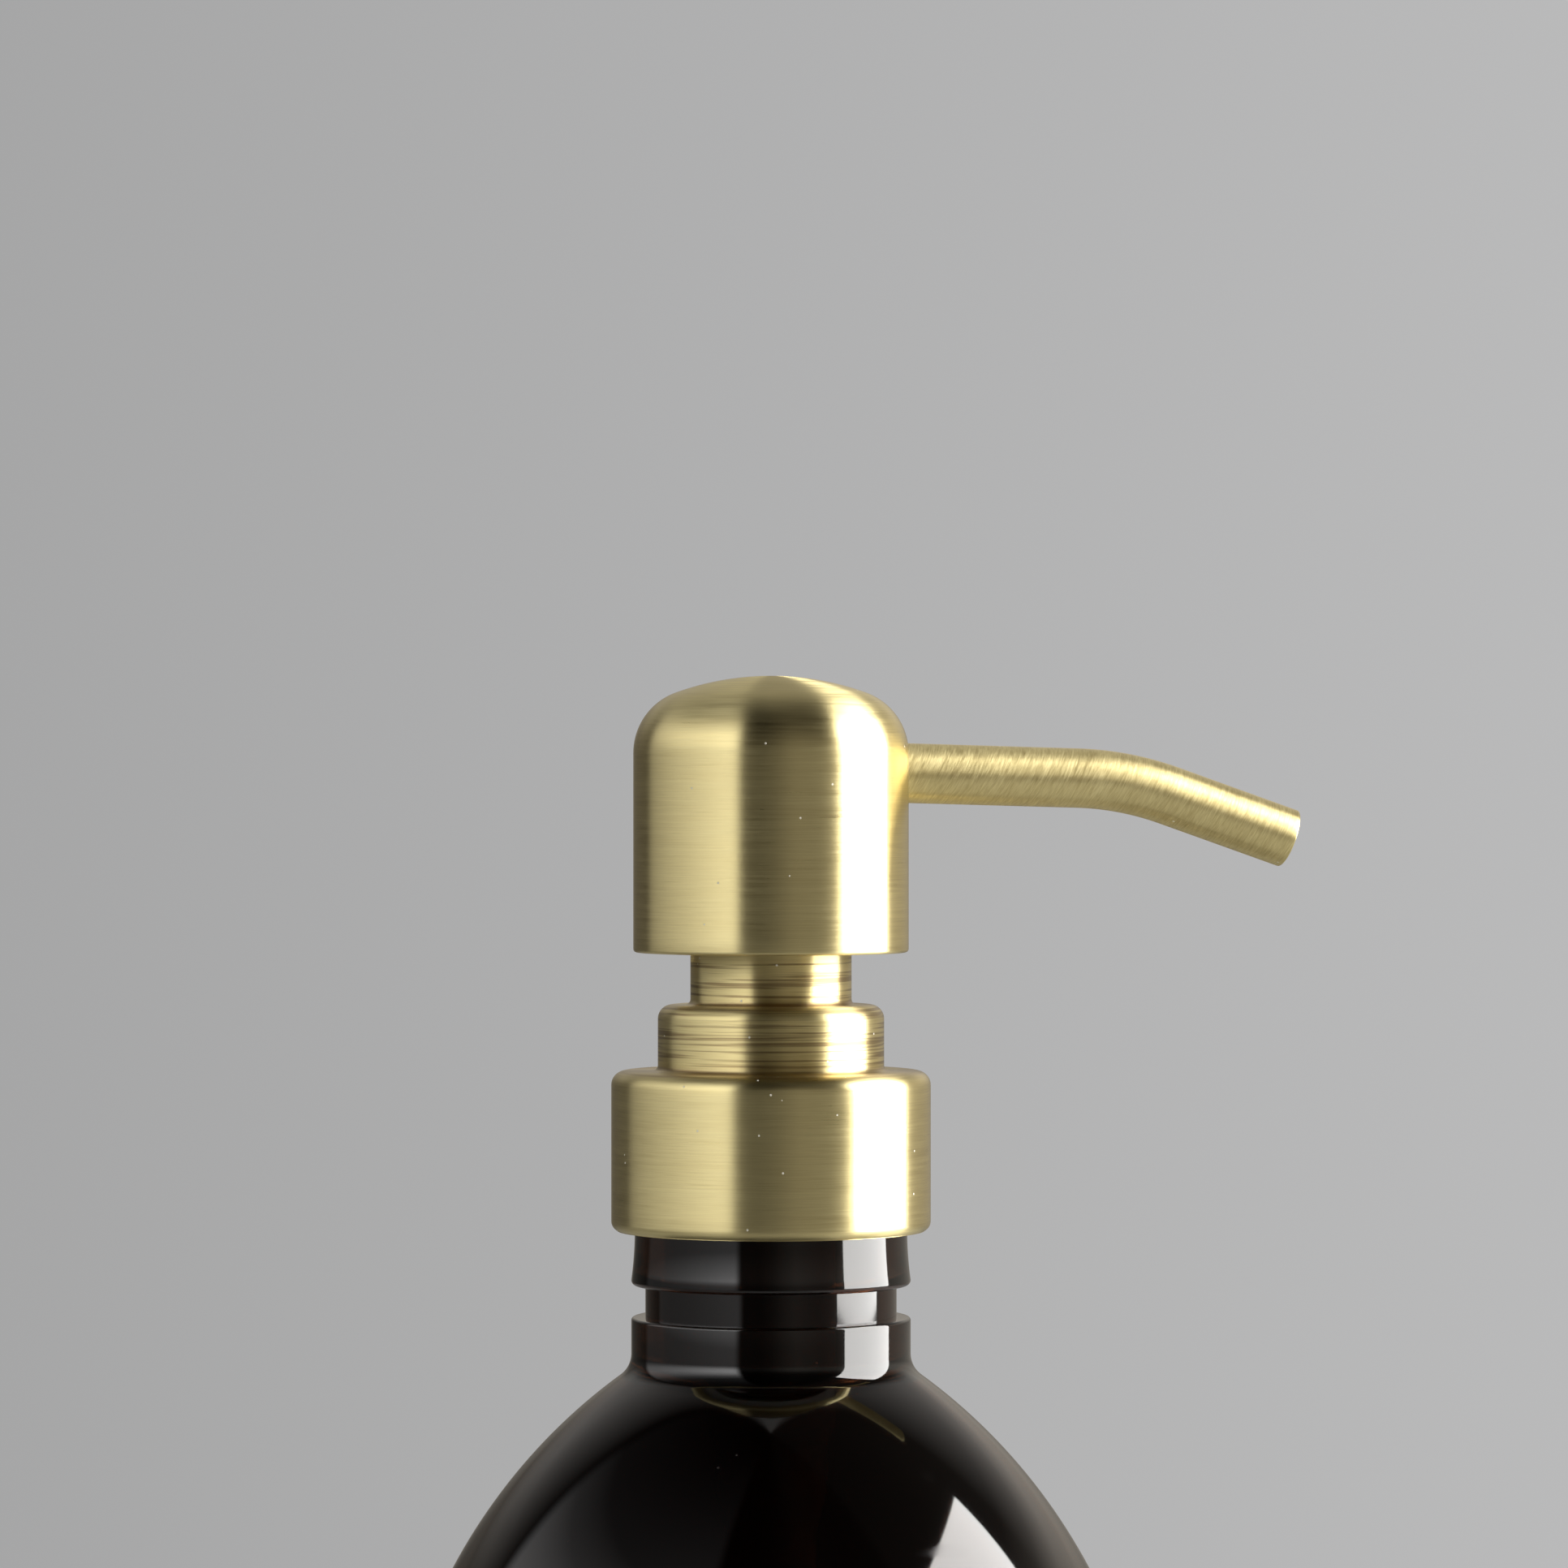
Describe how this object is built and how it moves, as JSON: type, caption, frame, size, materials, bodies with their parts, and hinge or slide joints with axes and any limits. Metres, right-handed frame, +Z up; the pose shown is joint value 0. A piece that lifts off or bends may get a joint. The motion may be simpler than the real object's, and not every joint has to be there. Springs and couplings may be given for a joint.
{
  "type": "soap pump dispenser",
  "caption": "Round dark bottle with a brushed brass press-down lotion pump, a stepped screw collar and a straight spout that droops at its tip.",
  "frame": {"origin": "centre of the bottle's base, on the surface it stands on", "axes": "+Z up along the pump's axis, +X towards the spout's tip"},
  "size_m": [0.0932, 0.077, 0.2065],
  "materials": {
    "amber_plastic": "glossy, nearly black amber",
    "brushed_brass": "brushed around the axis, satin",
    "core_plastic": "moulded, off-white",
    "natural_plastic": "moulded, milky",
    "soft_seal": "soft, matt",
    "steel": "bright stainless steel"
  },
  "bodies": {
    "bottle": {"bottle": "amber_plastic"},
    "pump": {"pump_housing": "natural_plastic", "neck_gasket": "soft_seal", "stem_guide": "natural_plastic", "guide_seal": "soft_seal", "ball_cage": "natural_plastic", "dip_tube": "natural_plastic", "return_spring": "steel"},
    "collar": {"collar_shell": "brushed_brass", "collar_liner": "core_plastic"},
    "piston": {"piston_body": "natural_plastic", "piston_seal": "soft_seal"},
    "head": {"head_shell": "brushed_brass", "head_core": "core_plastic", "stem": "natural_plastic", "spout_tube": "brushed_brass", "spout_liner": "core_plastic", "spout_seal": "soft_seal"},
    "inlet_ball": {"inlet_ball": "steel"},
    "outlet_ball": {"outlet_ball": "steel"}
  },
  "joints": [
    {"name": "pump_lift", "type": "slide", "parent": "bottle", "child": "pump", "axis": [0, 0, 1], "range_m": [0, 0.00635]},
    {"name": "collar_turn", "type": "hinge", "parent": "pump", "child": "collar", "pos_m": [0, 0, 0.159], "axis": [0, 0, 1], "range_deg": [0, 540]},
    {"name": "head_press", "type": "slide", "parent": "pump", "child": "piston", "axis": [0, 0, -1], "range_m": [0, 0.0115], "stiffness_N_per_m": 600, "springref_m": -0.01, "deforming": ["return_spring"]},
    {"name": "head_swivel", "type": "hinge", "parent": "piston", "child": "head", "pos_m": [0, 0, 0.16], "axis": [0, 0, 1], "continuous": true},
    {"name": "inlet_ball_lift", "type": "slide", "parent": "pump", "child": "inlet_ball", "axis": [0, 0, 1], "range_m": [0, 0.0014]},
    {"name": "outlet_ball_lift", "type": "slide", "parent": "head", "child": "outlet_ball", "axis": [0, 0, 1], "range_m": [0, 0.0016]}
  ],
  "couplings": [
    {"joint": "collar_turn", "follows": "pump_lift", "rad_per_m": 1484.3}
  ]
}
